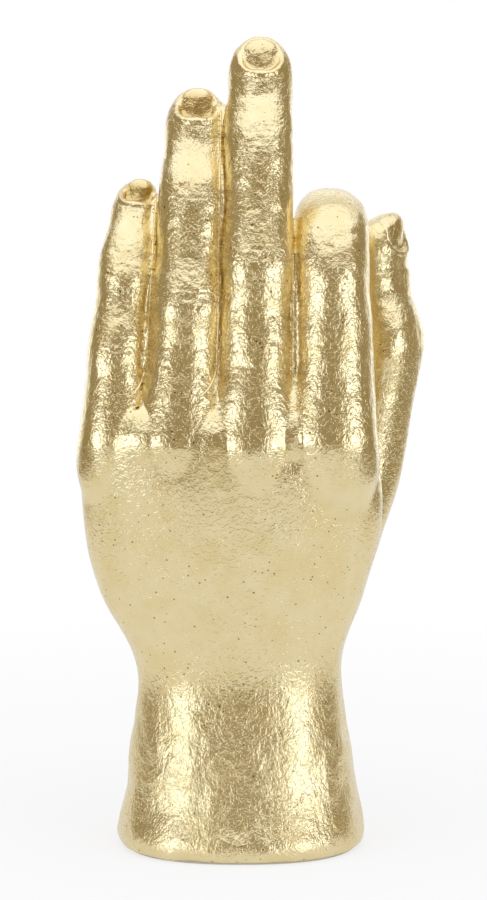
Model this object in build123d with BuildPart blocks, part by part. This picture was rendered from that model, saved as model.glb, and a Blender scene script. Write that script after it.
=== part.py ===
"""A left hand in gilded slip-cast ceramic, its index finger and thumb closed in a ring.

The hand is cast hollow. The wrist and palm are one shell, and the five digits are castings
of their own, luted to it end face to end face before firing, each with a collar that enters
the shell. A slab with a vent hole closes the foot, and a sheet of felt is glued under it.

Millimetres, +Z up. The back of the hand faces -Y, the little finger is at -X and the thumb
at +X. The origin is the middle of the felt's underside.
"""

import os
from math import cos, exp, pi, radians, sin, tan
from typing import NamedTuple

from build123d import *

os.makedirs("parts", exist_ok=True)

# Casting and foot
WALL = 5.5
FOOT_ROUNDING = 1.2
FELT_THICKNESS = 1.0
FELT_INSET = 2.2
SLAB_THICKNESS = 6.0
SLAB_LEDGE = 2.2
SLAB_CLEARANCE = 0.3
VENT_DIAMETER = 8.0

# Collars that locate the digits in the shell
COLLAR_LENGTH = 4.0
COLLAR_WALL = 2.0
COLLAR_CLEARANCE = 0.4

# Finger row at the knuckles, counted from the little finger's outer side
ROW_LEFT = -58.3
KNUCKLE_HEIGHT = 148.0
LUTE_HEIGHT = 168.0
LITTLE_WIDTH = 22.5
RING_WIDTH = 26.7
MIDDLE_WIDTH = 28.0
INDEX_WIDTH = 30.0
LITTLE_DEPTH = 27.0
RING_DEPTH = 30.0
MIDDLE_DEPTH = 31.0
INDEX_DEPTH = 31.0
LITTLE_Y = -14.0
RING_Y = -18.0
MIDDLE_Y = -19.5
INDEX_Y = -18.5

# Sizes at the fingertips
LITTLE_TIP_WIDTH = 18.0
RING_TIP_WIDTH = 22.0
MIDDLE_TIP_WIDTH = 23.0
INDEX_TIP_WIDTH = 18.5
LITTLE_TIP_DEPTH = 15.0
RING_TIP_DEPTH = 16.5
MIDDLE_TIP_DEPTH = 17.5
INDEX_TIP_DEPTH = 16.5

# Finger bones, from the knuckle out
METACARPAL = 40.0
LITTLE_PROXIMAL = 44.0
LITTLE_MIDDLE = 30.0
LITTLE_DISTAL = 32.0
RING_PROXIMAL = 61.2
RING_MIDDLE = 38.5
RING_DISTAL = 39.8
MIDDLE_PROXIMAL = 76.2
MIDDLE_MIDDLE = 41.5
MIDDLE_DISTAL = 39.8
INDEX_PROXIMAL = 89.5
INDEX_MIDDLE = 47.0
INDEX_DISTAL = 33.0

# Leans in degrees from upright: towards the palm, and sideways towards the thumb
METACARPAL_LEAN = -14.0
PROXIMAL_LEAN = 4.0
MIDDLE_LEAN = 10.0
LITTLE_DISTAL_LEAN = 30.0
RING_DISTAL_LEAN = 24.0
MIDDLE_DISTAL_LEAN = 19.0
INDEX_MIDDLE_LEAN = 98.0
INDEX_DISTAL_LEAN = 148.0
LITTLE_SIDE_LEAN = 3.4
LITTLE_SIDE_CURL = 3.0
RING_SIDE_LEAN = 3.1
MIDDLE_SIDE_LEAN = 1.0
INDEX_SIDE_LEAN = -0.4
INDEX_SWING = -2.1

# Valleys between fingers that are pressed together
LITTLE_RING_TILT = 3.0
RING_MIDDLE_TILT = 0.8
MIDDLE_INDEX_TILT = 0.0
PRESS = 0.8

# Flesh over the bones
ROOT_SHRINK = 6.0
TAPER = 0.3
KNUCKLE_SWELL = 1.6
JOINT_SWELL = 0.9
THUMB_JOINT_SWELL = 1.3
SWELL_REACH = 9.0
KNUCKLE_BEND = 30.0
STRAIGHT_BEND = 24.0
INDEX_PIP_BEND = 15.5
INDEX_DIP_BEND = 13.0
SECTION_SPACING = 9.0
OUTLINE_POINTS = 16
FINGER_POWER = 2.2
PALM_POWER = 2.35
TIP_RISE = 0.5
BORE_SHARE = 0.85

# Nail beds
NAIL_WIDTH_SHARE = 0.62
NAIL_LENGTH_SHARE = 0.62
NAIL_SINK = 0.9

# Thumb, along its bones from inside the palm to the tip
THUMB_ROOT = (19.5, 6.0, KNUCKLE_HEIGHT - 78.0)
THUMB_KNUCKLE = (48.0, 26.5, KNUCKLE_HEIGHT - 10.0)
THUMB_JOINT = (56.8, 26.8, KNUCKLE_HEIGHT + 39.0)
THUMB_PAD = (52.1, 31.0, KNUCKLE_HEIGHT + 64.0)
THUMB_TIP = (53.6, 30.4, KNUCKLE_HEIGHT + 88.0)
THUMB_LUTE = 82.0
THUMB_ROOT_WIDTH = 33.0
THUMB_BALL_WIDTH = 29.5
THUMB_KNUCKLE_WIDTH = 27.0
THUMB_JOINT_WIDTH = 24.5
THUMB_TIP_WIDTH = 21.5
THUMB_ROOT_DEPTH = 31.0
THUMB_BALL_DEPTH = 28.0
THUMB_KNUCKLE_DEPTH = 25.0
THUMB_JOINT_DEPTH = 22.5
THUMB_TIP_DEPTH = 16.5
THUMB_BEND = 34.0
THUMB_NAIL_TURN = -38.0

ACROSS = Vector(1, 0, 0)


class Slice(NamedTuple):
    """A level cut through the wrist or palm: its height, and the sides it reaches to."""

    height: float
    left: float
    right: float
    front: float
    back: float


class Girth(NamedTuple):
    """The width and depth of a digit at one distance along its bones."""

    distance: float
    width: float
    depth: float


class Digit(NamedTuple):
    """A finger or thumb: its bones, the way its width lies, and how thick it is along them."""

    bones: Wire
    side: Vector
    girths: list
    swells: list
    lute: float
    bore: float

    def plane_at(self, distance):
        """The plane square to the bones, X across the digit, Y towards its pad."""
        centre = self.bones.position_at(distance, PositionMode.LENGTH)
        along = self.bones.tangent_at(distance, PositionMode.LENGTH)
        return Plane(centre, x_dir=self.side - along * self.side.dot(along), z_dir=along)

    def size_at(self, distance):
        """Width and depth at a distance, with the swelling over the joints."""
        below = max((g for g in self.girths if g.distance <= distance), default=self.girths[0])
        above = min((g for g in self.girths if g.distance > distance), default=self.girths[-1])
        span = above.distance - below.distance
        share = (distance - below.distance) / span if span else 0.0
        swell = sum(rise * exp(-(((distance - at) / SWELL_REACH) ** 2)) for at, rise in self.swells)
        width = below.width + (above.width - below.width) * share + 2 * swell
        depth = below.depth + (above.depth - below.depth) * share + 2 * swell
        return width, depth


def squared_oval(half_width, half_depth, power):
    """Points round an oval that is squared off a little, from +X anticlockwise."""
    turns = [2 * pi * step / OUTLINE_POINTS for step in range(OUTLINE_POINTS)]

    def squared(value):
        return abs(value) ** (2 / power) * (1 if value >= 0 else -1)

    return [(half_width * squared(cos(turn)), half_depth * squared(sin(turn))) for turn in turns]


def outline(plane, width, depth, power):
    """A closed face on a plane, with its width along the plane's X."""
    with BuildSketch(plane) as face:
        with BuildLine():
            Spline(squared_oval(width / 2, depth / 2, power), periodic=True)
        make_face()
    return face.sketch


def level_outline(cut, inset=0.0):
    """The outline of a slice through the wrist or palm, drawn in by an inset."""
    middle = ((cut.left + cut.right) / 2, (cut.front + cut.back) / 2, cut.height)
    width = cut.right - cut.left - 2 * inset
    depth = cut.back - cut.front - 2 * inset
    return outline(Plane(middle), width, depth, PALM_POWER)


def bone_line(points, bends):
    """The line through a digit's bones, rounded at its joints."""
    with BuildLine() as bones:
        FilletPolyline(*points, radius=bends)
    return bones.wire()


def finger(x, y, width, depth, tip_width, tip_depth, lengths, leans, side_leans, bends, last_swell):
    """A finger that crosses the lute joint at x, with its bones from inside the palm to its tip."""

    def run(length, lean, side_lean):
        flat = length * cos(radians(side_lean))
        return Vector(length * sin(radians(side_lean)), flat * sin(radians(lean)), flat * cos(radians(lean)))

    knuckle_x = x - tan(radians(side_leans[0])) * (LUTE_HEIGHT - KNUCKLE_HEIGHT)
    corner = Vector(knuckle_x, y, KNUCKLE_HEIGHT)
    points = [corner - run(METACARPAL, METACARPAL_LEAN, 0), corner]
    for length, lean, side_lean in zip(lengths, leans, side_leans):
        corner = corner + run(length, lean, side_lean)
        points.append(corner)
    bones = bone_line(points, (KNUCKLE_BEND, *bends))
    lute = METACARPAL + (LUTE_HEIGHT - KNUCKLE_HEIGHT) / cos(radians(leans[0]))
    first_joint = METACARPAL + lengths[0]
    return Digit(
        bones=bones,
        side=ACROSS,
        girths=[
            Girth(0.0, width - ROOT_SHRINK, depth - ROOT_SHRINK),
            Girth(METACARPAL, width + 2 * PRESS, depth),
            Girth(lute, width + 2 * PRESS, depth),
            Girth(first_joint, width + (tip_width - width) * TAPER, depth + (tip_depth - depth) * TAPER),
            Girth(bones.length, tip_width, tip_depth),
        ],
        swells=[
            (METACARPAL, KNUCKLE_SWELL),
            (first_joint, JOINT_SWELL),
            (first_joint + lengths[1], last_swell),
        ],
        lute=lute,
        bore=lute + (first_joint - lute) * BORE_SHARE,
    )


def flesh(digit):
    """Sections of a digit from its root to its rounded tip, whose back stays nearly straight."""
    tip = digit.girths[-1]
    dome = tip.width / 2
    straight = digit.bones.length - dome
    count = round(straight / SECTION_SPACING)
    sections = []
    for step in range(count + 1):
        distance = straight * step / count
        width, depth = digit.size_at(distance)
        sections.append(outline(digit.plane_at(distance), width, depth, FINGER_POWER))
    for share in (0.5, 0.8, 0.95):
        shrink = (1 - share**2) ** 0.5
        plane = digit.plane_at(straight + dome * share)
        raised = plane.move(Location(plane.y_dir * -TIP_RISE * tip.depth / 2 * (1 - shrink)))
        sections.append(outline(raised, tip.width * shrink, tip.depth * shrink, FINGER_POWER))
    end = digit.plane_at(digit.bones.length)
    return [*sections, Vertex(*(end.origin - end.y_dir * TIP_RISE * tip.depth / 2))]


def core(digit, start, end, inset):
    """Sections inside a digit between two distances, an inset in from its surface."""
    count = max(2, round((end - start) / SECTION_SPACING))
    sections = []
    for step in range(count + 1):
        distance = start + (end - start) * step / count
        width, depth = digit.size_at(distance)
        sections.append(
            outline(digit.plane_at(distance), width - 2 * inset, depth - 2 * inset, FINGER_POWER)
        )
    return sections


def nail_cutter(digit):
    """A cutter that sinks the bed of a nail into the back of a fingertip."""
    tip = digit.girths[-1]
    width = tip.width * NAIL_WIDTH_SHARE
    length = tip.width * NAIL_LENGTH_SHARE
    section = digit.plane_at(digit.bones.length - length / 2)
    back = Plane(section.origin, x_dir=section.x_dir, z_dir=-section.y_dir)
    with BuildPart() as cutter:
        with BuildSketch(back):
            Ellipse(width / 2, length / 2)
        extrude(amount=tip.depth)
        with BuildSketch(section.offset(-length)):
            Ellipse(tip.width / 2 - NAIL_SINK, tip.depth / 2 - NAIL_SINK)
        extrude(amount=2 * length, mode=Mode.SUBTRACT)
    return cutter.part


# Level cuts through the wrist and palm, from the foot up to the web of the fingers
FOOT = Slice(FELT_THICKNESS, left=-45.8, right=45.4, front=-40.5, back=37.0)
SLICES = [
    FOOT,
    Slice(17.0, left=-44.6, right=44.3, front=-37.0, back=34.4),
    Slice(33.0, left=-42.6, right=41.7, front=-33.5, back=31.6),
    Slice(49.0, left=-40.4, right=39.4, front=-30.2, back=28.8),
    Slice(64.0, left=-39.1, right=37.6, front=-27.6, back=26.8),
    Slice(78.0, left=-43.3, right=39.6, front=-28.0, back=27.4),
    Slice(91.0, left=-50.8, right=44.6, front=-29.4, back=28.0),
    Slice(104.0, left=-55.7, right=48.4, front=-31.2, back=26.4),
    Slice(118.0, left=-58.4, right=51.8, front=-32.8, back=22.0),
    Slice(132.0, left=-59.5, right=52.8, front=-34.0, back=15.5),
    Slice(146.0, left=-60.2, right=51.2, front=-34.4, back=8.5),
    Slice(160.0, left=-58.6, right=49.0, front=-31.6, back=1.0),
    Slice(173.0, left=-56.5, right=46.5, front=-26.5, back=-5.0),
]

# Digits
little_x = ROW_LEFT + LITTLE_WIDTH / 2
ring_x = ROW_LEFT + LITTLE_WIDTH + RING_WIDTH / 2
middle_x = ROW_LEFT + LITTLE_WIDTH + RING_WIDTH + MIDDLE_WIDTH / 2
index_x = ROW_LEFT + LITTLE_WIDTH + RING_WIDTH + MIDDLE_WIDTH + INDEX_WIDTH / 2

little = finger(
    x=little_x,
    y=LITTLE_Y,
    width=LITTLE_WIDTH,
    depth=LITTLE_DEPTH,
    tip_width=LITTLE_TIP_WIDTH,
    tip_depth=LITTLE_TIP_DEPTH,
    lengths=(LITTLE_PROXIMAL, LITTLE_MIDDLE, LITTLE_DISTAL),
    leans=(PROXIMAL_LEAN, MIDDLE_LEAN, LITTLE_DISTAL_LEAN),
    side_leans=[LITTLE_SIDE_LEAN + LITTLE_SIDE_CURL * bone for bone in range(3)],
    bends=(STRAIGHT_BEND, STRAIGHT_BEND),
    last_swell=JOINT_SWELL,
)
ring = finger(
    x=ring_x,
    y=RING_Y,
    width=RING_WIDTH,
    depth=RING_DEPTH,
    tip_width=RING_TIP_WIDTH,
    tip_depth=RING_TIP_DEPTH,
    lengths=(RING_PROXIMAL, RING_MIDDLE, RING_DISTAL),
    leans=(PROXIMAL_LEAN, MIDDLE_LEAN, RING_DISTAL_LEAN),
    side_leans=(RING_SIDE_LEAN, RING_SIDE_LEAN, RING_SIDE_LEAN),
    bends=(STRAIGHT_BEND, STRAIGHT_BEND),
    last_swell=JOINT_SWELL,
)
middle = finger(
    x=middle_x,
    y=MIDDLE_Y,
    width=MIDDLE_WIDTH,
    depth=MIDDLE_DEPTH,
    tip_width=MIDDLE_TIP_WIDTH,
    tip_depth=MIDDLE_TIP_DEPTH,
    lengths=(MIDDLE_PROXIMAL, MIDDLE_MIDDLE, MIDDLE_DISTAL),
    leans=(PROXIMAL_LEAN, MIDDLE_LEAN, MIDDLE_DISTAL_LEAN),
    side_leans=(MIDDLE_SIDE_LEAN, MIDDLE_SIDE_LEAN, MIDDLE_SIDE_LEAN),
    bends=(STRAIGHT_BEND, STRAIGHT_BEND),
    last_swell=JOINT_SWELL,
)
index = finger(
    x=index_x,
    y=INDEX_Y,
    width=INDEX_WIDTH,
    depth=INDEX_DEPTH,
    tip_width=INDEX_TIP_WIDTH,
    tip_depth=INDEX_TIP_DEPTH,
    lengths=(INDEX_PROXIMAL, INDEX_MIDDLE, INDEX_DISTAL),
    leans=(PROXIMAL_LEAN, INDEX_MIDDLE_LEAN, INDEX_DISTAL_LEAN),
    side_leans=(INDEX_SIDE_LEAN, INDEX_SWING, INDEX_SWING),
    bends=(INDEX_PIP_BEND, INDEX_DIP_BEND),
    last_swell=0.0,
)

thumb_bones = bone_line(
    (THUMB_ROOT, THUMB_KNUCKLE, THUMB_JOINT, THUMB_PAD, THUMB_TIP),
    (THUMB_BEND, THUMB_BEND, THUMB_BEND),
)
thumb_knuckle_at = (Vector(THUMB_KNUCKLE) - Vector(THUMB_ROOT)).length
thumb_joint_at = thumb_knuckle_at + (Vector(THUMB_JOINT) - Vector(THUMB_KNUCKLE)).length
thumb = Digit(
    bones=thumb_bones,
    side=Vector(0, 1, 0).rotate(Axis.Z, THUMB_NAIL_TURN),
    girths=[
        Girth(0.0, THUMB_ROOT_WIDTH, THUMB_ROOT_DEPTH),
        Girth(thumb_knuckle_at * 2 / 3, THUMB_BALL_WIDTH, THUMB_BALL_DEPTH),
        Girth(thumb_knuckle_at, THUMB_KNUCKLE_WIDTH, THUMB_KNUCKLE_DEPTH),
        Girth(thumb_joint_at, THUMB_JOINT_WIDTH, THUMB_JOINT_DEPTH),
        Girth(thumb_bones.length, THUMB_TIP_WIDTH, THUMB_TIP_DEPTH),
    ],
    swells=[(thumb_joint_at, THUMB_JOINT_SWELL)],
    lute=THUMB_LUTE,
    bore=THUMB_LUTE + (thumb_joint_at - THUMB_LUTE) * BORE_SHARE,
)

with BuildPart() as little_ray:
    loft(sections=flesh(little))
with BuildPart() as ring_ray:
    loft(sections=flesh(ring))
with BuildPart() as middle_ray:
    loft(sections=flesh(middle))
with BuildPart() as index_ray:
    loft(sections=flesh(index))
with BuildPart() as thumb_ray:
    loft(sections=flesh(thumb))

lute_plane = Plane.XY.offset(LUTE_HEIGHT)
thumb_plane = thumb.plane_at(thumb.lute)
root_rays = [
    split(ray.part, bisect_by=lute_plane.offset(COLLAR_LENGTH), keep=Keep.BOTTOM)
    for ray in (little_ray, ring_ray, middle_ray, index_ray)
]
thumb_ball = split(thumb_ray.part, bisect_by=thumb_plane, keep=Keep.BOTTOM)

# Wrist and palm: an open-footed shell with a hole for each digit's collar
with BuildPart() as hand_body:
    loft(sections=[level_outline(cut) for cut in SLICES])
    fillet(hand_body.edges().group_by(Axis.Z)[0], FOOT_ROUNDING)
    for ray in root_rays:
        add(ray)
    split(bisect_by=lute_plane, keep=Keep.BOTTOM)
    add(thumb_ball)
    loft(sections=[level_outline(cut, WALL) for cut in SLICES[:-1]], mode=Mode.SUBTRACT)
    for digit in (little, ring, middle, index, thumb):
        reach = digit.lute + COLLAR_LENGTH
        loft(sections=core(digit, METACARPAL / 2, reach, WALL), mode=Mode.SUBTRACT)
    rebate = level_outline(FOOT, WALL - SLAB_LEDGE)
    extrude(rebate, amount=SLAB_THICKNESS, mode=Mode.SUBTRACT)
hand_body.part.label = "hand_body"
export_step(hand_body.part, "parts/hand_body.step")


def valley(x, tilt):
    """The plane where two fingers press on each other, facing the thumb's side."""
    turn = radians(tilt)
    return Plane((x, 0, LUTE_HEIGHT), z_dir=(cos(turn), 0, -sin(turn)))


def collar(digit):
    """Sections of the collar, which reach a little way into the digit to hold it."""
    return core(digit, digit.lute - COLLAR_LENGTH, digit.lute + COLLAR_LENGTH, WALL + COLLAR_CLEARANCE)


def bore(digit):
    """Sections of the hollow that runs up through the collar into the digit."""
    inset = WALL + COLLAR_CLEARANCE + COLLAR_WALL
    return core(digit, digit.lute - 2 * COLLAR_LENGTH, digit.bore, inset)


little_ring_valley = valley(ring_x - RING_WIDTH / 2, LITTLE_RING_TILT)
ring_middle_valley = valley(middle_x - MIDDLE_WIDTH / 2, RING_MIDDLE_TILT)
middle_index_valley = valley(index_x - INDEX_WIDTH / 2, MIDDLE_INDEX_TILT)

with BuildPart() as little_finger:
    add(little_ray.part)
    split(bisect_by=lute_plane, keep=Keep.TOP)
    split(bisect_by=little_ring_valley, keep=Keep.BOTTOM)
    loft(sections=collar(little))
    loft(sections=bore(little), mode=Mode.SUBTRACT)
    add(nail_cutter(little), mode=Mode.SUBTRACT)
little_finger.part.label = "little_finger"
export_step(little_finger.part, "parts/little_finger.step")

with BuildPart() as ring_finger:
    add(ring_ray.part)
    split(bisect_by=lute_plane, keep=Keep.TOP)
    split(bisect_by=little_ring_valley, keep=Keep.TOP)
    split(bisect_by=ring_middle_valley, keep=Keep.BOTTOM)
    loft(sections=collar(ring))
    loft(sections=bore(ring), mode=Mode.SUBTRACT)
    add(nail_cutter(ring), mode=Mode.SUBTRACT)
ring_finger.part.label = "ring_finger"
export_step(ring_finger.part, "parts/ring_finger.step")

with BuildPart() as middle_finger:
    add(middle_ray.part)
    split(bisect_by=lute_plane, keep=Keep.TOP)
    split(bisect_by=ring_middle_valley, keep=Keep.TOP)
    split(bisect_by=middle_index_valley, keep=Keep.BOTTOM)
    loft(sections=collar(middle))
    loft(sections=bore(middle), mode=Mode.SUBTRACT)
    add(nail_cutter(middle), mode=Mode.SUBTRACT)
middle_finger.part.label = "middle_finger"
export_step(middle_finger.part, "parts/middle_finger.step")

with BuildPart() as index_finger:
    add(index_ray.part)
    split(bisect_by=lute_plane, keep=Keep.TOP)
    split(bisect_by=middle_index_valley, keep=Keep.TOP)
    loft(sections=collar(index))
    loft(sections=bore(index), mode=Mode.SUBTRACT)
    add(nail_cutter(index), mode=Mode.SUBTRACT)
index_finger.part.label = "index_finger"
export_step(index_finger.part, "parts/index_finger.step")

with BuildPart() as thumb_piece:
    add(thumb_ray.part)
    split(bisect_by=thumb_plane, keep=Keep.TOP)
    loft(sections=collar(thumb))
    loft(sections=bore(thumb), mode=Mode.SUBTRACT)
    add(nail_cutter(thumb), mode=Mode.SUBTRACT)
thumb_piece.part.label = "thumb"
export_step(thumb_piece.part, "parts/thumb.step")

# The slab is seated in the rebate of the foot, under the shell's ledge
with BuildPart() as base_slab:
    extrude(level_outline(FOOT, WALL - SLAB_LEDGE + SLAB_CLEARANCE), amount=SLAB_THICKNESS)
    with Locations((0, 0, FELT_THICKNESS + SLAB_THICKNESS)):
        Hole(VENT_DIAMETER / 2)
base_slab.part.label = "base_slab"
export_step(base_slab.part, "parts/base_slab.step")

with BuildPart() as felt_base:
    extrude(level_outline(FOOT._replace(height=0.0), FELT_INSET), amount=FELT_THICKNESS)
felt_base.part.label = "felt_base"
export_step(felt_base.part, "parts/felt_base.step")
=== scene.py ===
from collections import Counter
from math import cos, inf, pi, radians, sin, tan

import bmesh
import bpy
import numpy as np
from mathutils import Matrix, Vector, noise
from mathutils.bvhtree import BVHTree


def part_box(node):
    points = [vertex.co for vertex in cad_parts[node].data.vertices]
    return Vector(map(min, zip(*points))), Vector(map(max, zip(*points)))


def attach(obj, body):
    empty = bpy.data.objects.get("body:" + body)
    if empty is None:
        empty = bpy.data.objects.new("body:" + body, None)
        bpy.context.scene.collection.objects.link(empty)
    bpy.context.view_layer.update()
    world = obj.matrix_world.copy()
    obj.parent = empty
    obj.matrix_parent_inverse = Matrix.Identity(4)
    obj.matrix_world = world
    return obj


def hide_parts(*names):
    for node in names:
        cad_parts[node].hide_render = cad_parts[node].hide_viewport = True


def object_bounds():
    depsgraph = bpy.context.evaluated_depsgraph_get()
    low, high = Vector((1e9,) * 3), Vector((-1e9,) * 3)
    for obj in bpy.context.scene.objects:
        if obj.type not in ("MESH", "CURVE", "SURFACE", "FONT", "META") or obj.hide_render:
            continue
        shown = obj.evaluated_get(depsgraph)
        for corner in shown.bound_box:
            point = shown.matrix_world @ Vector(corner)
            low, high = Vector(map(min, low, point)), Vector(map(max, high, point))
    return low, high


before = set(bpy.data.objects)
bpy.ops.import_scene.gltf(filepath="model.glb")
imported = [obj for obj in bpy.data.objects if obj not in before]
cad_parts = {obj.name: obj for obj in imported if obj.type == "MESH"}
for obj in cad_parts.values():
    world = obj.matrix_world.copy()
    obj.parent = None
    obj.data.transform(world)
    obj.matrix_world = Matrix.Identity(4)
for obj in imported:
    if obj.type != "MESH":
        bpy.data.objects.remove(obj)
cad_low, cad_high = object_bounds()

# The clay form: wrist and palm in one shell, four fingers and a thumb, each slip-cast hollow.
# They are luted together wet and sponged flush, so the six castings share one outer skin. It is
# wrapped here round merged copies of the solids, with the foot stopped up for the time being.
MM = 0.001
CASTINGS = ("hand_body", "little_finger", "ring_finger", "middle_finger", "index_finger", "thumb")
WELD = 1e-6
SHELL_GRAIN = 0.00086
DIGIT_GRAIN = 0.00052
SHELL_SPONGING = 7
DIGIT_SPONGING = 14
FOOT_EDGE = 0.006
FOOT_EDGE_SPONGING = 2
SHELL_TOP = 0.186
DIGIT_FOOT = 0.125
STOPPER_OVERLAP = 1.025
VENT_REACH = 0.006
UPRIGHT = 0.5


def merged_copy(casting):
    form = bmesh.new()
    form.from_mesh(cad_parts[casting].data)
    bmesh.ops.remove_doubles(form, verts=form.verts, dist=WELD)
    return form


def add_form(clay, form):
    mesh = bpy.data.meshes.new("form")
    form.to_mesh(mesh)
    form.free()
    clay.from_mesh(mesh)
    bpy.data.meshes.remove(mesh)


def foot_stopper():
    """The slab without its vent, a little too wide, so that it closes the foot."""
    stopper = merged_copy("base_slab")
    low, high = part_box("base_slab")
    middle = (low + high) / 2
    vent = [
        face
        for face in stopper.faces
        if abs(face.normal.z) < UPRIGHT and face.calc_center_median().xy.length < VENT_REACH
    ]
    bmesh.ops.delete(stopper, geom=vent, context="FACES")
    bmesh.ops.holes_fill(stopper, edges=[edge for edge in stopper.edges if edge.is_boundary])
    bmesh.ops.translate(stopper, verts=stopper.verts, vec=-middle)
    bmesh.ops.scale(stopper, verts=stopper.verts, vec=(STOPPER_OVERLAP, STOPPER_OVERLAP, 1.0))
    bmesh.ops.translate(stopper, verts=stopper.verts, vec=middle)
    return stopper


# Slip pressed into the valleys between the fingers, in millimetres: where each valley crosses the
# lute joint, how it tilts and where the fingers part above it. The slips are given by height, front
# and back. Their lower ends are sponged into the back of the hand.
LUTE_HEIGHT = 168.0
VALLEYS = ((-35.8, 3.0, 247.0), (-9.1, 0.8, 281.0), (18.9, 0.0, 251.0))
SLIP_THICKNESS = (3.0, 2.6, 2.2)
SLIP_SHIFT = (0.7, 0.7, 0.1)
SLIPS = (
    (
        (158, -29.0, -4.0), (170, -25.0, -3.5), (178, -22.0, -3.0), (190, -19.5, -2.0),
        (200, -18.5, -1.0), (222, -12.5, 2.0), (245, -1.5, 6.0),
    ),
    (
        (158, -31.5, -6.0), (170, -28.3, -5.0), (178, -25.0, -4.0), (190, -22.5, -3.0),
        (222, -18.5, 0.0), (250, -13.0, 3.0), (279, -1.0, 8.0),
    ),
    (
        (158, -31.5, -6.0), (170, -28.6, -5.0), (178, -25.4, -4.0),
        (208, -21.8, -2.0), (227, -17.5, 2.0),
    ),
)
WEB_HEIGHT = 171.0
WEB_FRONTS = (-26.0, -28.5, -29.0)
WEB_REACH = 0.010
WEB_SPONGING = 0.6e-5


def pressed_slip(stations, place, tilt, thickness):
    slip = bmesh.new()
    lean = tan(radians(tilt))
    outline = [(height, front) for height, front, _ in stations]
    outline += [(height, back) for height, _, back in reversed(stations)]
    side = slip.faces.new(
        [
            slip.verts.new((place - thickness / 2 + (height - LUTE_HEIGHT) * lean, depth, height))
            for height, depth in outline
        ]
    )
    swept = bmesh.ops.extrude_face_region(slip, geom=[side])["geom"]
    other_side = [part for part in swept if isinstance(part, bmesh.types.BMVert)]
    bmesh.ops.translate(slip, verts=other_side, vec=(thickness, 0, 0))
    bmesh.ops.scale(slip, verts=slip.verts, vec=(MM, MM, MM))
    bmesh.ops.recalc_face_normals(slip, faces=slip.faces)
    return slip


def sponge(skin, verts, passes):
    for _ in range(passes):
        bmesh.ops.smooth_vert(
            skin, verts=verts, factor=0.5, use_axis_x=True, use_axis_y=True, use_axis_z=True
        )


def outer_skin(clay_mesh, grain, sponging, low, high):
    """The skin round the clay between two heights, sponged smooth."""
    clay = bpy.data.objects.new("clay", clay_mesh)
    bpy.context.scene.collection.objects.link(clay)
    wrap = clay.modifiers.new("wrap", "REMESH")
    wrap.mode = "VOXEL"
    wrap.voxel_size = grain
    wrap.adaptivity = 0.0
    evaluated = clay.evaluated_get(bpy.context.evaluated_depsgraph_get())
    wrapped = bpy.data.meshes.new_from_object(evaluated)
    bpy.data.objects.remove(clay)
    skin = bmesh.new()
    skin.from_mesh(wrapped)
    bpy.data.meshes.remove(wrapped)
    beyond = [vert for vert in skin.verts if not low < vert.co.z < high]
    bmesh.ops.delete(skin, geom=beyond, context="VERTS")
    sponge(skin, skin.verts, FOOT_EDGE_SPONGING)
    above_foot = [vert for vert in skin.verts if vert.co.z > FOOT_EDGE]
    sponge(skin, above_foot, sponging - FOOT_EDGE_SPONGING)
    webs = [Vector((valley[0], front, WEB_HEIGHT)) * MM for valley, front in zip(VALLEYS, WEB_FRONTS)]
    level = [vert for vert in skin.verts if abs(vert.co.z - WEB_HEIGHT * MM) < WEB_REACH]
    round_webs = [vert for vert in level if min((vert.co - web).length for web in webs) < WEB_REACH]
    sponge(skin, round_webs, round(WEB_SPONGING / grain**2))
    return skin


joined = bmesh.new()
for casting in CASTINGS:
    add_form(joined, merged_copy(casting))
add_form(joined, foot_stopper())
for valley, slip, thickness, shift in zip(VALLEYS, SLIPS, SLIP_THICKNESS, SLIP_SHIFT):
    add_form(joined, pressed_slip(slip, valley[0] + shift, valley[1], thickness))
clay_mesh = bpy.data.meshes.new("clay")
joined.to_mesh(clay_mesh)
joined.free()
shell_skin = outer_skin(clay_mesh, SHELL_GRAIN, SHELL_SPONGING, -inf, SHELL_TOP)
digit_skin = outer_skin(clay_mesh, DIGIT_GRAIN, DIGIT_SPONGING, DIGIT_FOOT, inf)
bpy.data.meshes.remove(clay_mesh)

# The modelling of that skin, pressed and cut into the wet clay, in millimetres: the knuckle ridge
# across the back, the pads, hollow and lines of the palm, the lines over the joints, and the nails
# in their folds. The bones run from the knuckles to the fingertips, and each finger has its width.
LITTLE_BONES = ((-48.2, -14.0, 148.0), (-45.6, -10.9, 191.8), (-42.3, -5.8, 221.2), (-37.1, 10.0, 248.5))
RING_BONES = ((-23.5, -18.0, 148.0), (-20.2, -13.7, 209.0), (-18.1, -7.1, 246.8), (-16.0, 9.1, 283.1))
MIDDLE_BONES = ((4.6, -19.5, 148.0), (5.9, -14.2, 224.0), (6.6, -7.0, 264.9), (7.3, 6.0, 302.5))
INDEX_BONES = ((34.0, -18.5, 148.0), (33.4, -12.3, 237.3), (31.7, 34.3, 230.7), (30.5, 51.7, 202.8))
FINGERS = ((LITTLE_BONES, 22.5), (RING_BONES, 26.7), (MIDDLE_BONES, 28.0), (INDEX_BONES, 30.0))
TURNED_AWAY = 1.6
BACK_DEPTH = 5.0
PALM_DEPTH = -12.0
PALM_TOP = 172.0
RIDGE_HEIGHT = 162.0
RIDGE_RISE = 1.6
RIDGE_BELOW = 10.0
RIDGE_ABOVE = 15.0
RIDGE_FILL = 1.4
RIDGE_FILL_REACH = 7.0
DIMPLE_DEPTH = 0.5
DIMPLE_PLACE = (18.6, 151.0)
DIMPLE_REACH = 3.0
PAD_RISE = 2.2
PAD_HEIGHT = 158.0
PAD_REACH = (11.0, 9.0)
HEEL_AND_HOLLOW = ((2.2, (-34.0, 104.0), (17.0, 27.0)), (-1.8, (-6.0, 124.0), (15.0, 20.0)))
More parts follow.
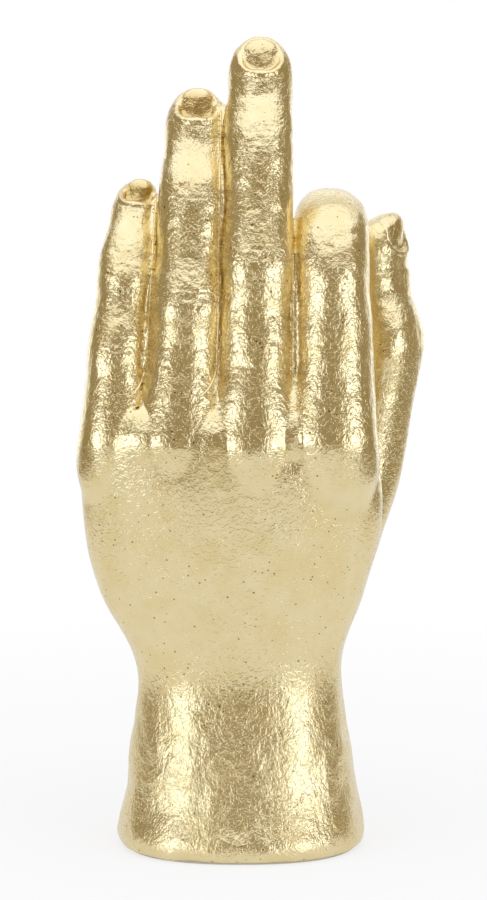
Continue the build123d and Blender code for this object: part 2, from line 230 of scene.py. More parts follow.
PALM_LINES = (
    ((-52, 128), (-40, 134), (-24, 138), (-8, 146)),
    ((-44, 112), (-28, 117), (-8, 126), (10, 136)),
    ((8, 138), (-2, 128), (-6, 112), (-4, 94), (2, 80)),
)
PALM_LINE_DEPTH = 0.6
PALM_LINE_REACH = 1.4
PALM_LINE_TURN = 2.5
PALM_LINE_EDGE = 1.2


def hump(distance, reach):
    return np.exp(-((distance / reach) ** 2))


def mound(x, z, rise, place, reach):
    return rise * hump(x - place[0], reach[0]) * hump(z - place[1], reach[1])


def off_line(across, up, line):
    """Distance of each point from a line that is drawn on the hand as seen from the front."""
    away = np.full(len(across), np.inf)
    for start, end in zip(np.array(line[:-1], float), np.array(line[1:], float)):
        run = end - start
        share = np.clip(((across - start[0]) * run[0] + (up - start[1]) * run[1]) / (run @ run), 0, 1)
        off = np.hypot(across - start[0] - share * run[0], up - start[1] - share * run[1])
        away = np.minimum(away, off)
    return away


def knuckles_and_palm(points, normals):
    x, y, z = points.T
    back = np.clip(-normals[:, 1] * TURNED_AWAY, 0, 1) * (y < BACK_DEPTH)
    palm = np.clip(normals[:, 1] * TURNED_AWAY, 0, 1) * (y > PALM_DEPTH) * (z < PALM_TOP)
    rise = np.zeros(len(points))
    for bones, _ in FINGERS:
        rise += mound(x, z, PAD_RISE, (bones[0][0], PAD_HEIGHT), PAD_REACH) * palm
    ridge = RIDGE_RISE + sum(RIDGE_FILL * hump(x - place, RIDGE_FILL_REACH) for place, _, _ in VALLEYS)
    ridge_reach = np.where(z > RIDGE_HEIGHT, RIDGE_ABOVE, RIDGE_BELOW)
    rise += ridge * hump(z - RIDGE_HEIGHT, ridge_reach) * back
    off_dimple = np.hypot(x - DIMPLE_PLACE[0], z - DIMPLE_PLACE[1])
    rise -= DIMPLE_DEPTH * hump(off_dimple, DIMPLE_REACH) * back
    for shape in HEEL_AND_HOLLOW:
        rise += mound(x, z, *shape) * palm
    facing = np.clip(normals[:, 1] * PALM_LINE_TURN - PALM_LINE_EDGE, 0, 1) * palm
    for line in PALM_LINES:
        rise -= PALM_LINE_DEPTH * hump(off_line(x, z, line), PALM_LINE_REACH) * facing
    return rise


# The lines over the joints: fine folds on the back of each straight finger, closer together at its
# sides, and deeper creases on the palm side. They are drawn into the wet clay, in millimetres.
FINGER_REACH = 0.62
JOINT_TURN = 1.5
JOINT_EDGE = 0.3
FOLDS = (-4.6, -2.3, 0.0, 2.3, 4.6)
FOLD_DEPTHS = (0.10, 0.07)
FOLD_REACH = 0.75
FOLD_SPREAD = 5.5
FOLD_WIDTH = 0.75
FOLD_BOW = 0.45
CREASE_DEPTH = 0.9
CREASE_REACH = 0.9
CREASE_BOW = 1.5
ROOT_CREASE = 27.0


def along_bones(points, bones):
    """Distance along a finger's bones, and the offset from them, for each point."""
    joints = np.array(bones)
    nearest = np.full(len(points), np.inf)
    along = np.zeros(len(points))
    offset = np.zeros((len(points), 3))
    passed = 0.0
    for start, end in zip(joints[:-1], joints[1:]):
        length = np.linalg.norm(end - start)
        direction = (end - start) / length
        reach = np.clip((points - start) @ direction, 0, length)
        away = points - (start + reach[:, None] * direction)
        gap = np.linalg.norm(away, axis=1)
        near = gap < nearest
        nearest[near] = gap[near]
        along[near] = passed + reach[near]
        offset[near] = away[near]
        passed += length
    return along, offset, nearest


def crease(along, across, place):
    return CREASE_DEPTH * hump(along - place - CREASE_BOW * across**2, CREASE_REACH)


def joint_lines(points, normals):
    rise = np.zeros(len(points))
    for bones, width in FINGERS[:3]:
        along, offset, gap = along_bones(points, bones)
        on_finger = gap < width * FINGER_REACH
        across = offset[:, 0] / (width / 2)
        back = np.clip(-normals[:, 1] * JOINT_TURN - JOINT_EDGE, 0, 1) * on_finger
        front = np.clip(normals[:, 1] * JOINT_TURN - JOINT_EDGE, 0, 1) * on_finger
        first = np.linalg.norm(np.array(bones[1]) - bones[0])
        second = first + np.linalg.norm(np.array(bones[2]) - bones[1])
        for joint, depth in zip((first, second), FOLD_DEPTHS):
            for fold in FOLDS:
                line = joint + fold * (1 - FOLD_BOW * across**2)
                cut = depth * hump(along - line, FOLD_REACH) * hump(fold, FOLD_SPREAD)
                rise -= cut * hump(across, FOLD_WIDTH) * back
            rise -= crease(along, across, joint) * front
        rise -= crease(along, across, ROOT_CREASE) * front
    return rise


# The nails, modelled into the clay with the rest, in millimetres. Each has its middle, the directions
# across and along it, its width and length, how far the plate is sunk, lifted at the free end, folded
# and swollen round, and how much its plate is smoothed and darkened with painted shade. The fifth
# only fills the thumb's plain nail bed.
NAILS = (
    ((-37.9, 0.8, 247.5), (0.989, 0, -0.148), (0.163, 0.494, 0.857), 11.2, 11.2, (1.1, 1.8, 0.6, 1.2), 1.0),
    ((-16.3, -1.2, 280.3), (0.999, 0, -0.054), (0.054, 0.406, 0.913), 13.0, 13.6, (1.1, 1.8, 0.6, 1.7), 0.9),
    ((7.2, -4.6, 298.6), (1, 0, -0.017), (0.017, 0.325, 0.946), 13.2, 13.2, (0.5, 0.7, 0.6, 0.9), 0.3),
    ((30.7, 55.7, 212.0), (1, 0, 0), (-0.036, 0.529, -0.848), 11.5, 11.5, (0.4, 0.5, 0.5, 0.4), 0.3),
    ((59.7, 25.5, 229.3), (0.616, 0.788, 0), (0.062, -0.025, 0.998), 13.3, 13.3, (-0.5, 0, 0, 0), 0.0),
    ((61.2, 27.7, 229.0), (0.34, 0.94, 0), (0.062, -0.025, 0.998), 12.5, 13.3, (0.9, 0.5, 0.5, 0.4), 0.5),
)
NAIL_SQUARENESS = 2.6
NAIL_CROWN = 0.42
NAIL_FACING = 0.15
NAIL_DEPTH = 9.0
PLATE_EDGE = 0.97
PLATE_BEVEL = 0.10
FLESH_EDGE = 0.95
FLESH_BEVEL = 0.15
NAIL_FOLD_PLACE = 1.2
NAIL_FOLD_ROUNDING = 0.15
NAIL_FOLD_END = 0.4
GROOVE_SHARE = 0.8
GROOVE_ROUNDING = 0.06
SWELL_OFFSET = 1.5
SWELL_LENGTH = 5.5
SWELL_WIDTH = 1.4
# Where the painted shade on the nails, and their smoothing, fade out towards the free end.
POLISH_AND_SHADE_END = 0.75
POLISH_AND_SHADE_FADE = 0.4


def nail(points, normals, centre, side, along, width, length, heights, polish_and_shade_strength):
    """A nail: its plate sunk under the fold at the root and lifted at the free end, a groove all
    round, and the fold and the finger behind it standing up. Also gives how much painted shade
    darkens its plate, and how much its leaf is smoothed there, fading towards the free end."""
    sink, lift, fold, swell = heights
    side = np.array(side) / np.linalg.norm(side)
    along = np.array(along) - side * np.dot(along, side)
    along = along / np.linalg.norm(along)
    outward = np.cross(side, along)
    offset = points - np.array(centre)
    a = offset @ side / (width / 2)
    b = offset @ along / (length / 2)
    facing = (normals @ outward > NAIL_FACING) & (np.abs(offset @ outward) < NAIL_DEPTH)
    ring = (np.abs(a) ** NAIL_SQUARENESS + np.abs(b) ** NAIL_SQUARENESS) ** (1 / NAIL_SQUARENESS)
    plate = np.clip((PLATE_EDGE - ring) / PLATE_BEVEL, 0, 1)
    flesh = np.clip((ring - FLESH_EDGE) / FLESH_BEVEL, 0, 1)
    rise = (NAIL_CROWN * np.clip(1 - a**2, 0, 1) - sink + lift * b) * plate
    nail_fold = hump(ring - NAIL_FOLD_PLACE, NAIL_FOLD_ROUNDING) * np.clip(NAIL_FOLD_END - b, 0, 1)
    rise += fold * (nail_fold - GROOVE_SHARE * hump(ring - 1, GROOVE_ROUNDING))
    behind = (b + 1) * length / 2 + SWELL_OFFSET
    rise += swell * hump(behind, SWELL_LENGTH) * hump(a, SWELL_WIDTH) * flesh
    # The plate's share of painted shade, which also smooths its leaf.
    polish_and_shade = plate * polish_and_shade_strength * np.clip((POLISH_AND_SHADE_END - b) / POLISH_AND_SHADE_FADE, 0, 1)
    return np.where(facing, rise, 0.0), np.where(facing, polish_and_shade, 0.0)


def read_skin(skin):
    mesh = bpy.data.meshes.new("skin")
    skin.to_mesh(mesh)
    points = np.empty(len(mesh.vertices) * 3, np.float32)
    normals = np.empty(len(mesh.vertices) * 3, np.float32)
    mesh.vertices.foreach_get("co", points)
    mesh.vertex_normals.foreach_get("vector", normals)
    bpy.data.meshes.remove(mesh)
    return points.reshape(-1, 3) / MM, normals.reshape(-1, 3).astype(float)


for skin in (shell_skin, digit_skin):
    points, normals = read_skin(skin)
    rise = knuckles_and_palm(points, normals) + joint_lines(points, normals)
    nails_polish_and_shade = np.zeros(len(points))
    for shape in NAILS:
        nail_rise, one_nail_polish_and_shade = nail(points, normals, *shape)
        rise += nail_rise
        nails_polish_and_shade = np.maximum(nails_polish_and_shade, one_nail_polish_and_shade)
    # Each point's share of painted shade on the nails, kept with the skin.
    polish_and_shade_layer = skin.verts.layers.float.new("polish_and_shade")
    for vert, height, outward, share in zip(skin.verts, rise, normals, nails_polish_and_shade):
        vert[polish_and_shade_layer] = share
        if height:
            vert.co += Vector(outward) * (height * MM)

# Gold leaf laid on size over the whole fired hand. The clay under it is lumpy from the sponge, least
# so on the back. The leaf is crinkled and has pinholes, its creases catch the light, and it is duller
# near the foot, where the hand is held. On the nails it is smoother, and darkened with painted shade.
LUMPS = ((0.00022, 0.00060, 75.0), (0.00003, 0.00020, 190.0))
BACK_MIDDLE = 0.115
BACK_HALF = 0.05
BACK_FADE = 0.02
SHELL_CRINKLE = 0.00004
DIGIT_CRINKLE = 0.00009
CRINKLE_SCALE = 330.0
LEAF_DARK = (0.79, 0.64, 0.33, 1.0)
LEAF_LIGHT = (0.84, 0.71, 0.42, 1.0)
BROWN_SIZE = (0.42, 0.29, 0.10, 1.0)
# The colour of the painted shade on the nails.
PAINTED_NAIL_SHADE = (0.66, 0.48, 0.20, 1.0)
CALMEST_HEIGHT = 0.122
PINHOLES_LEFT_OUT = 0.2
for skin, crinkle in ((shell_skin, SHELL_CRINKLE), (digit_skin, DIGIT_CRINKLE)):
    skin.normal_update()
    for vert in skin.verts:
        share = min(max((abs(vert.co.z - BACK_MIDDLE) - BACK_HALF) / BACK_FADE, 0), 1)
        lump = sum((low + (high - low) * share) * noise.noise(vert.co * scale) for low, high, scale in LUMPS)
        lump += crinkle * noise.fractal(vert.co * CRINKLE_SCALE, 1.0, 2.0, 2)
        vert.co += vert.normal * lump


def new_finish(name):
    finish = bpy.data.materials.new(name)
    finish.use_nodes = True
    finish.node_tree.nodes.clear()
    return finish


def node(tree, kind, links=None, **values):
    made = tree.nodes.new(kind)
    for name, value in values.items():
        if hasattr(made, name):
            setattr(made, name, value)
        else:
            made.inputs[name.replace("_", " ")].default_value = value
    for name, source in (links or {}).items():
        tree.links.new(source, made.inputs[name])
    return made


def figure(tree, operation, *terms):
    """A sum that the finish works out, from other nodes' results and plain numbers."""
    made = node(tree, "ShaderNodeMath", operation=operation)
    for socket, term in zip(made.inputs, terms):
        if isinstance(term, float):
            socket.default_value = term
        else:
            tree.links.new(term, socket)
    return made.outputs[0]


def two_shades(tree, share, dark, light, start=0.0, end=1.0):
    shades = node(tree, "ShaderNodeValToRGB", {"Fac": share})
    first, last = shades.color_ramp.elements
    first.position = start
    first.color = dark
    last.position = end
    last.color = light
    return shades.outputs["Color"]


def tinted(tree, colour, share, tint):
    mix = node(tree, "ShaderNodeMix", {"Factor": share, 6: colour}, data_type="RGBA")
    mix.inputs[7].default_value = tint
    return mix.outputs[2]


def crease_lines(tree, place, scale, width):
    """Fine raised creases, where a noise crosses its middle value."""
    wander = node(
        tree,
        "ShaderNodeTexNoise",
        {"Vector": place},
        Scale=scale,
        Detail=1.0,
        Roughness=0.5,
        Distortion=0.4,
    )
    away = figure(tree, "ABSOLUTE", figure(tree, "SUBTRACT", wander.outputs["Fac"], 0.5))
    line = node(
        tree,
        "ShaderNodeMapRange",
        {"Value": away},
        interpolation_type="SMOOTHSTEP",
        From_Max=width,
        To_Min=1.0,
        To_Max=0.0,
    )
    return line.outputs["Result"]


leaf = new_finish("gold_leaf")
tree = leaf.node_tree
place = node(tree, "ShaderNodeTexCoord").outputs["Object"]
height = node(tree, "ShaderNodeSeparateXYZ", {"Vector": place}).outputs["Z"]
# The nails' share of painted shade, which also smooths their leaf.
polish_and_shade = node(tree, "ShaderNodeAttribute", attribute_name="polish_and_shade").outputs["Fac"]

drawn = node(tree, "ShaderNodeMapping", {"Vector": place}, Scale=(1.0, 1.0, 0.65))
ripple = node(
    tree,
    "ShaderNodeTexNoise",
    {"Vector": drawn.outputs["Vector"]},
    Scale=560.0,
    Detail=3.0,
    Roughness=0.6,
)
off_calmest = figure(tree, "ABSOLUTE", figure(tree, "SUBTRACT", height, CALMEST_HEIGHT))
crumpling = node(
    tree,
    "ShaderNodeMapRange",
    {"Value": off_calmest},
    From_Min=0.030,
    From_Max=0.052,
    To_Min=0.5,
    To_Max=1.0,
)
smoothing = node(tree, "ShaderNodeMapRange", {"Value": polish_and_shade}, To_Min=1.0, To_Max=0.45)
roughening = figure(tree, "MULTIPLY", crumpling.outputs["Result"], smoothing.outputs["Result"])
ripple_bump = node(
    tree,
    "ShaderNodeBump",
    {"Height": ripple.outputs["Fac"], "Strength": roughening},
    Distance=0.00035,
)
crease_bump = node(
    tree,
    "ShaderNodeBump",
    {"Height": crease_lines(tree, place, 330.0, 0.06), "Normal": ripple_bump.outputs["Normal"]},
    Strength=1.0,
    Distance=0.00003,
)
turned = node(tree, "ShaderNodeMapping", {"Vector": place}, Rotation=(0.7, 0.4, 1.1))
fine_creases = crease_lines(tree, turned.outputs["Vector"], 620.0, 0.08)
fine_bump = node(
    tree,
    "ShaderNodeBump",
    {"Height": fine_creases, "Normal": crease_bump.outputs["Normal"]},
    Strength=1.0,
    Distance=0.00002,
)

tone = node(tree, "ShaderNodeTexNoise", {"Vector": place}, Scale=90.0, Detail=5.0, Roughness=0.65)
shade = two_shades(tree, tone.outputs["Fac"], LEAF_DARK, LEAF_LIGHT, 0.3, 0.62)
cells = node(tree, "ShaderNodeTexVoronoi", {"Vector": place}, Scale=330.0, Randomness=1.0)
pick = node(tree, "ShaderNodeSeparateColor", {"Color": cells.outputs["Color"]})
chosen = figure(tree, "GREATER_THAN", pick.outputs["Red"], PINHOLES_LEFT_OUT)
hole_size = node(
    tree, "ShaderNodeMapRange", {"Value": pick.outputs["Green"]}, To_Min=0.075, To_Max=0.145
)
hole = figure(tree, "LESS_THAN", cells.outputs["Distance"], hole_size.outputs["Result"])
specked = tinted(tree, shade, figure(tree, "MULTIPLY", hole, chosen), BROWN_SIZE)
sheen = node(
    tree,
    "ShaderNodeMapRange",
    {"Value": tone.outputs["Fac"]},
    From_Min=0.3,
    From_Max=0.7,
    To_Min=0.22,
    To_Max=0.15,
)
rubbing = node(
    tree,
    "ShaderNodeMapRange",
    {"Value": height},
    From_Min=0.05,
    From_Max=0.085,
    To_Min=0.06,
    To_Max=0.0,
)
gold = node(
    tree,
    "ShaderNodeBsdfPrincipled",
    {
        # The leaf's tone with its pinholes, darkened on the nails with painted shade.
        "Base Color": tinted(tree, specked, polish_and_shade, PAINTED_NAIL_SHADE),
        "Roughness": figure(tree, "ADD", sheen.outputs["Result"], rubbing.outputs["Result"]),
        "Normal": fine_bump.outputs["Normal"],
    },
    Metallic=1.0,
)
node(tree, "ShaderNodeOutputMaterial", {"Surface": gold.outputs["BSDF"]})

# The six gilded castings. The skin is parted again along the lute joints, so that each is a piece of
# its own, closed by a flat face where it meets its neighbours. Three fingers also carry the bead of
# slip that was left in the valley on their right, drawn as seen from the front, in millimetres.
THUMB_LUTE = Vector((48.97, 26.52, 143.50)) * MM
THUMB_AXIS = Vector((0.182, 0.0127, 0.9832)).normalized()
THUMB_SIDE = Vector((30.0, 8.0, 0.0)) * MM
THUMB_RADIUS = 0.0145
CUT_REACH = 0.0025
CUT_SNAP = 1e-7
CUT = Vector((0, 0, LUTE_HEIGHT * MM))
BEAD_STEP = 0.8
BEAD_PROUD = 0.25
BEAD_SMOOTHING = 7
BEAD_SIDES = 10
BEADS = {
    "little_finger": (
        0.42,
        (-31.6, 246), (-32.6, 232), (-33.6, 213), (-34.5, 196), (-34.9, 187), (-35.4, 183.5),
        (-36.3, 180.6), (-37.6, 177.4), (-39.2, 175.3), (-41.0, 174.2), (-43.0, 173.7),
    ),
    "ring_finger": (
        0.42,
        (-7.6, 280), (-8.0, 255), (-8.5, 226), (-8.8, 196), (-9.2, 185), (-9.8, 181.8),
        (-10.8, 179.2), (-12.2, 177.0), (-14.0, 175.4), (-16.2, 174.4),
    ),
    "middle_finger": (0.32, (18.9, 226), (18.9, 205), (18.8, 184), (18.6, 176)),
}
solids = {}
for casting in ("hand_body", "index_finger", "thumb"):
    solid = merged_copy(casting)
    solids[casting] = BVHTree.FromBMesh(solid)
    solid.free()


def islands(faces):
    """The faces, sorted into groups that hang together."""
    left = set(faces)
    while left:
        island = [left.pop()]
        for face in island:
            linked = {other for edge in face.edges for other in edge.link_faces} & left
            left -= linked
            island.extend(linked)
        yield island


def without_pinches(faces):
    """The faces, with more taken in where their outline touches itself."""
    pinches = [None]
    while pinches:
        edges = {edge for face in faces for edge in face.edges}
        outline = [edge for edge in edges if not faces.issuperset(edge.link_faces)]
        ends = Counter(vert for edge in outline for vert in edge.verts)
        pinches = [vert for vert, count in ends.items() if count > 2]
        faces.update(face for vert in pinches for face in vert.link_faces)
    return faces


def whole(faces):
    """The faces with their edges and corners."""
    edges = {edge for face in faces for edge in face.edges}
    verts = {vert for face in faces for vert in face.verts}
    return [*verts, *edges, *faces]


def everything(piece):
    return [*piece.verts, *piece.edges, *piece.faces]


def close_cut(piece):
    """Flat faces over the open edges that a cut has left."""
    rim = [edge for edge in piece.edges if edge.is_boundary]
    for edge in rim:
        edge.smooth = False
    bmesh.ops.holes_fill(piece, edges=rim)


def cut_off(piece, geom, place, direction):
    """Cuts away what lies beyond a plane, and closes the cut."""
    bmesh.ops.bisect_plane(
        piece,
        geom=geom,
        dist=CUT_SNAP,
        plane_co=place,
        plane_no=direction,
        clear_outer=True,
    )
    close_cut(piece)


def is_thumb(point):
    """True beyond the thumb's lute joint, on the skin that is nearest to the thumb's solid."""
    height = (point - THUMB_LUTE).dot(THUMB_AXIS)
    if point.x < THUMB_SIDE.x or point.y < THUMB_SIDE.y or height < 0:
        return False
    if height < CUT_REACH and (point - THUMB_LUTE - THUMB_AXIS * height).length < THUMB_RADIUS:
        return True
    return min(solids, key=lambda casting: solids[casting].find_nearest(point)[3]) == "thumb"


def part_thumb(skin):
    """Splits a skin into the thumb and the rest."""
    near = [
        face
        for face in skin.faces
        if abs((face.calc_center_median() - THUMB_LUTE).dot(THUMB_AXIS)) < CUT_REACH
        and (face.calc_center_median() - THUMB_LUTE).length < THUMB_RADIUS + CUT_REACH
    ]
    bmesh.ops.bisect_plane(
        skin, geom=whole(near), dist=CUT_SNAP, plane_co=THUMB_LUTE, plane_no=THUMB_AXIS
    )
    for face in skin.faces:
        face.smooth = True
        face.select = False
    beyond = [face for face in skin.faces if is_thumb(face.calc_center_median())]
    for face in without_pinches(set(max(islands(beyond), key=len))):
        face.select = True
    thumb = skin.copy()
    bmesh.ops.delete(thumb, geom=[face for face in thumb.faces if not face.select], context="FACES")
    bmesh.ops.delete(skin, geom=[face for face in skin.faces if face.select], context="FACES")
    return thumb


def part_finger(finger, valley, side):
    """Cuts a finger off its neighbour on the left (-1) or right (1), along the valley between them."""
    turn = radians(valley[1])
    place = Vector((valley[0], 0, LUTE_HEIGHT)) * MM
    direction = Vector((cos(turn), 0, -sin(turn))) * side
    above = {face for face in finger.faces if face.calc_center_median().z > valley[2] * MM}
    below = set(finger.faces) - above
    neighbours = []
    for tip in islands(above):
        middle = sum((face.calc_center_median() for face in tip), Vector()) / len(tip)
        if (middle - place).dot(direction) > 0:
            neighbours.extend(tip)
    bmesh.ops.delete(finger, geom=neighbours, context="FACES")
    cut_off(finger, whole(below), place, direction)


def slip_bead(surface, radius, *line):
    """A rolled bead of slip, laid on the skin."""
    spots = []
    for start, end in zip(line, line[1:]):
        steps = round(np.hypot(end[0] - start[0], end[1] - start[1]) / BEAD_STEP)
        for step in range(steps):
            spots.append(np.array(start) + (np.array(end) - np.array(start)) * step / steps)
    starts = [Vector((x * MM, cad_low.y, z * MM)) for x, z in spots]
    laid = [surface.ray_cast(start, Vector((0, 1, 0)))[0].y for start in starts]
    padded = np.pad(laid, BEAD_SMOOTHING // 2, mode="edge")
    depths = np.convolve(padded, np.ones(BEAD_SMOOTHING) / BEAD_SMOOTHING, mode="valid")
    centres = [Vector((x * MM, depth - BEAD_PROUD * MM, z * MM)) for (x, z), depth in zip(spots, depths)]
    bead = bmesh.new()
    course = (centres[1] - centres[0]).normalized()
    ring = bmesh.ops.create_circle(
        bead,
        cap_ends=True,
        segments=BEAD_SIDES,
        radius=radius * MM,
        matrix=Matrix.Translation(centres[0]) @ course.to_track_quat("Z", "Y").to_matrix().to_4x4(),
    )
    end = cap = ring["verts"][0].link_faces[0]
    for before, here, after in zip(centres, centres[1:], centres[2:] + centres[-1:]):
        swept = bmesh.ops.extrude_face_region(bead, geom=[cap])["geom"]
        if cap is not end:
            bmesh.ops.delete(bead, geom=[cap], context="FACES_ONLY")
        cap = next(part for part in swept if isinstance(part, bmesh.types.BMFace))
        bmesh.ops.translate(bead, verts=cap.verts, vec=here - before)
        onward = (after - before).normalized()
        turn = course.rotation_difference(onward).to_matrix()
        bmesh.ops.rotate(bead, verts=cap.verts, cent=here, matrix=turn)
        course = onward
    bmesh.ops.recalc_face_normals(bead, faces=bead.faces)
    for face in bead.faces:
        face.smooth = True
    return bead


def gild(piece, casting):
    mesh = bpy.data.meshes.new(casting + "_gilded")
    piece.to_mesh(mesh)
    piece.free()
    mesh.materials.append(leaf)
    gilded = bpy.data.objects.new(casting + "_gilded", mesh)
    bpy.context.scene.collection.objects.link(gilded)
    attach(gilded, "root")
    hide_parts(casting)


part_thumb(shell_skin).free()
close_cut(shell_skin)
cut_off(shell_skin, everything(shell_skin), CUT, Vector((0, 0, 1)))
gild(shell_skin, "hand_body")

thumb = part_thumb(digit_skin)
close_cut(thumb)
gild(thumb, "thumb")

cut_off(digit_skin, everything(digit_skin), CUT, Vector((0, 0, -1)))
skin_surface = BVHTree.FromBMesh(digit_skin)
walls = [None, *VALLEYS, None]
for casting, left, right in zip(CASTINGS[1:5], walls[:-1], walls[1:]):
    finger = digit_skin.copy()
    if left:
        part_finger(finger, left, -1)
    if right:
        part_finger(finger, right, 1)
        add_form(finger, slip_bead(skin_surface, *BEADS[casting]))
    gild(finger, casting)
digit_skin.free()

# The slab that closes the foot: the same clay rolled flat, fired but left bare, with a vent for the
# kiln. It is luted into the ledge inside the foot.
CLAY_DARK = (0.62, 0.55, 0.47, 1.0)
CLAY_LIGHT = (0.80, 0.76, 0.70, 1.0)
bisque = new_finish("bisque")
tree = bisque.node_tree
place = node(tree, "ShaderNodeTexCoord").outputs["Object"]
grog = node(tree, "ShaderNodeTexNoise", {"Vector": place}, Scale=900.0, Detail=4.0, Roughness=0.6)
clay_tone = two_shades(tree, grog.outputs["Fac"], CLAY_DARK, CLAY_LIGHT, 0.3, 0.7)
grog_bump = node(tree, "ShaderNodeBump", {"Height": grog.outputs["Fac"]}, Strength=0.6, Distance=0.0002)
bare_clay = node(
    tree,
    "ShaderNodeBsdfPrincipled",
    {"Base Color": clay_tone, "Normal": grog_bump.outputs["Normal"]},
    Roughness=0.9,
)
node(tree, "ShaderNodeOutputMaterial", {"Surface": bare_clay.outputs["BSDF"]})
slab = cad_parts["base_slab"]
slab.data.materials.clear()
slab.data.materials.append(bisque)

# The felt under the foot: a one-millimetre sheet of pressed wool, cut to the foot's oval and glued
# on, so that the clay doesn't scratch the shelf.
FELT_SQUARENESS = 2.35
FELT_POINTS = 160
FELT_EDGE = 0.00025
FELT_CORNER = 1.0
WOOL_DARK = (0.62, 0.56, 0.45, 1.0)
WOOL_LIGHT = (0.84, 0.79, 0.68, 1.0)
felt_low, felt_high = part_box("felt_base")
felt_half = (felt_high - felt_low) / 2
felt_middle = (felt_high + felt_low) / 2
felt_form = bmesh.new()
bmesh.ops.create_circle(felt_form, cap_ends=True, segments=FELT_POINTS, radius=1.0)
for vert in felt_form.verts:
    cross, depth = (
        abs(value) ** (2 / FELT_SQUARENESS) * (1 if value >= 0 else -1) for value in vert.co.xy
    )
    vert.co = (felt_middle.x + felt_half.x * cross, felt_middle.y + felt_half.y * depth, felt_low.z)
felt_area = sum(face.calc_area() for face in felt_form.faces)
pile = bmesh.ops.extrude_face_region(felt_form, geom=felt_form.faces[:])
bmesh.ops.translate(
    felt_form,
    verts=[part for part in pile["geom"] if isinstance(part, bmesh.types.BMVert)],
    vec=(0, 0, felt_high.z - felt_low.z),
)
bmesh.ops.recalc_face_normals(felt_form, faces=felt_form.faces)
rims = [
    edge
    for edge in felt_form.edges
    if len(edge.link_faces) == 2 and edge.calc_face_angle(0) > FELT_CORNER
]
bmesh.ops.bevel(
    felt_form, geom=rims, offset=FELT_EDGE, affect="EDGES", segments=2, profile=0.5, material=-1
)
felt_mesh = bpy.data.meshes.new("felt_pad")
felt_form.to_mesh(felt_mesh)
felt_form.free()
felt = new_finish("pressed_felt")
tree = felt.node_tree
place = node(tree, "ShaderNodeTexCoord").outputs["Object"]
fibre = node(
    tree,
    "ShaderNodeTexNoise",
    {"Vector": place},
    Scale=2200.0,
    Detail=4.0,
    Roughness=0.7,
    Distortion=1.5,
)
wool = two_shades(tree, fibre.outputs["Fac"], WOOL_DARK, WOOL_LIGHT)
nap = node(tree, "ShaderNodeBump", {"Height": fibre.outputs["Fac"]}, Strength=0.8, Distance=0.0003)
pressed = node(
    tree,
    "ShaderNodeBsdfPrincipled",
    {"Base Color": wool, "Normal": nap.outputs["Normal"]},
    Roughness=0.95,
    Sheen_Weight=0.3,
)
node(tree, "ShaderNodeOutputMaterial", {"Surface": pressed.outputs["BSDF"]})
felt_mesh.materials.append(felt)
felt_pad = bpy.data.objects.new("felt_pad", felt_mesh)
bpy.context.scene.collection.objects.link(felt_pad)
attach(felt_pad, "root")
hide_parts("felt_base")

# The studio's table top: a white oval, partly matt near the hand so that it keeps the hand's shadow,
# and plain white further out. The gilding shows it a little dimmer than the camera does.
TABLE_RADIUS = 0.95
TABLE_NARROWING = 0.47
TABLE_POINTS = 128
TABLE_WHITE = (0.9, 0.9, 0.9, 1.0)
GLOW_IN_GOLD = 0.88
table_form = bmesh.new()
bmesh.ops.create_circle(table_form, cap_ends=True, segments=TABLE_POINTS, radius=TABLE_RADIUS)
bmesh.ops.scale(table_form, verts=table_form.verts, vec=(TABLE_NARROWING, 1.0, 1.0))
table_mesh = bpy.data.meshes.new("table_top")
table_form.to_mesh(table_mesh)
table_form.free()
table = new_finish("white_table")
tree = table.node_tree
path = node(tree, "ShaderNodeLightPath").outputs
place = node(tree, "ShaderNodeTexCoord").outputs["Object"]
distance = node(tree, "ShaderNodeVectorMath", {0: place}, operation="LENGTH")
glow = node(
    tree,
    "ShaderNodeMapRange",
    {"Value": distance.outputs["Value"]},
    From_Min=0.08,
    From_Max=0.45,
    To_Min=0.72,
    To_Max=1.0,
)
seen = figure(tree, "MAXIMUM", path["Is Camera Ray"], path["Is Glossy Ray"])
matt = node(tree, "ShaderNodeBsdfDiffuse", Color=TABLE_WHITE)
strength = node(tree, "ShaderNodeMapRange", {"Value": path["Is Glossy Ray"]}, To_Min=1.0, To_Max=GLOW_IN_GOLD)
lit = node(tree, "ShaderNodeEmission", {"Strength": strength.outputs["Result"]})
blend = node(
    tree,
    "ShaderNodeMixShader",
    {
        "Fac": figure(tree, "MULTIPLY", seen, glow.outputs["Result"]),
        1: matt.outputs["BSDF"],
        2: lit.outputs["Emission"],
    },
)
node(tree, "ShaderNodeOutputMaterial", {"Surface": blend.outputs["Shader"]})
table_mesh.materials.append(table)
table_top = bpy.data.objects.new("table_top", table_mesh)
bpy.context.scene.collection.objects.link(table_top)

# The studio round it: white wherever the camera looks. In reflections only the backdrop behind the
# hand is white, and the rest is a dim warm room, which also gives the fill light.
BACKDROP_WHITE = (1.0, 1.0, 1.0, 1.0)
ROOM_SHADE = (0.36, 0.30, 0.19, 1.0)
BACKDROP_EDGE = (0.74, 0.86)
studio = bpy.data.worlds.new("studio")
bpy.context.scene.world = studio
studio.use_nodes = True
tree = studio.node_tree
tree.nodes.clear()
path = node(tree, "ShaderNodeLightPath").outputs
direction = node(tree, "ShaderNodeTexCoord").outputs["Generated"]
rearward = node(tree, "ShaderNodeSeparateXYZ", {"Vector": direction}).outputs["Y"]
behind = node(
    tree, "ShaderNodeMapRange", {"Value": rearward}, From_Min=BACKDROP_EDGE[0], From_Max=BACKDROP_EDGE[1]
)
reflected = figure(tree, "MAXIMUM", path["Is Glossy Ray"], path["Is Transmission Ray"])
backdrop = figure(tree, "MULTIPLY", reflected, behind.outputs["Result"])
white = node(tree, "ShaderNodeBackground", Color=BACKDROP_WHITE, Strength=1.0)
dim = node(tree, "ShaderNodeBackground", Color=ROOM_SHADE, Strength=1.0)
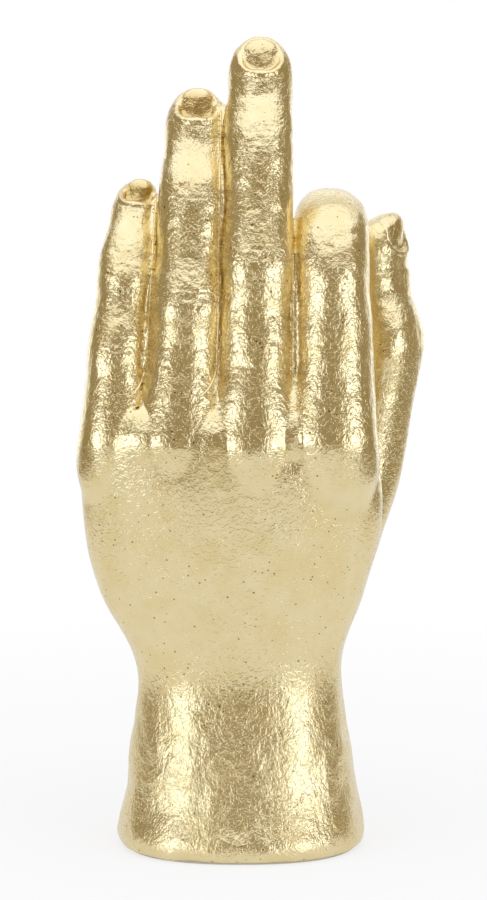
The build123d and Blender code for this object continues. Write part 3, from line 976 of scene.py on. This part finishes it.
surround = node(
    tree,
    "ShaderNodeMixShader",
    {
        "Fac": figure(tree, "MAXIMUM", path["Is Camera Ray"], backdrop),
        1: dim.outputs["Background"],
        2: white.outputs["Background"],
    },
)
node(tree, "ShaderNodeOutputWorld", {"Surface": surround.outputs["Shader"]})

# The studio's light: two wide soft ceiling lights, the stronger in front, and four low lit boards
# round the table, whose light runs down the fingers and the wrist.
DAYLIGHT = (0.76, 0.85, 1.05)
CEILING_HEIGHT = 1.05
CEILING_WIDTH = 2.4
CEILINGS = (("front_ceiling", -0.65, 1.8, 1.25), ("back_ceiling", 1.0, 1.5, 0.7))
BOARD_DISTANCE = 0.95
BOARD_MIDDLE = 0.17
BOARD_SIZE = (0.64, 0.33)
BOARDS = ((45, 2.5), (138, 0.8), (222, 0.8), (315, 2.5))


def soft_box(name, place, aim, width, height, radiance):
    lamp = bpy.data.lights.new(name, "AREA")
    lamp.color = DAYLIGHT
    lamp.shape = "RECTANGLE"
    lamp.size = width
    lamp.size_y = height
    lamp.energy = radiance * pi * width * height
    box = bpy.data.objects.new(name, lamp)
    box.location = place
    box.rotation_euler = (Vector(aim) - Vector(place)).to_track_quat("-Z", "Y").to_euler()
    box.visible_camera = False
    bpy.context.scene.collection.objects.link(box)


for name, depth, length, radiance in CEILINGS:
    soft_box(name, (0, depth, CEILING_HEIGHT), (0, depth, 0), CEILING_WIDTH, length, radiance)
for turn, radiance in BOARDS:
    angle = radians(turn)
    spot = Vector((BOARD_DISTANCE * sin(angle), -BOARD_DISTANCE * cos(angle), BOARD_MIDDLE))
    soft_box(f"board_{turn}", spot, (0, 0, BOARD_MIDDLE), *BOARD_SIZE, radiance)

# The camera, at the height and distance that the photograph's perspective gives: a long lens in
# front of the back of the hand, tilted down a little.
CAMERA_DISTANCE = 1.6
CAMERA_PITCH = radians(9)
CAMERA_LENS = 170.7
CAMERA_SENSOR = 36.0
TARGET = Vector((0.00075, 0.0, 0.150))
camera_data = bpy.data.cameras.new("camera")
camera_data.lens = CAMERA_LENS
camera_data.sensor_width = CAMERA_SENSOR
camera = bpy.data.objects.new("camera", camera_data)
camera.location = TARGET + CAMERA_DISTANCE * Vector((0, -cos(CAMERA_PITCH), sin(CAMERA_PITCH)))
camera.rotation_euler = (radians(90) - CAMERA_PITCH, 0, 0)
bpy.context.scene.collection.objects.link(camera)
bpy.context.scene.camera = camera
bpy.context.scene.view_settings.view_transform = "Standard"
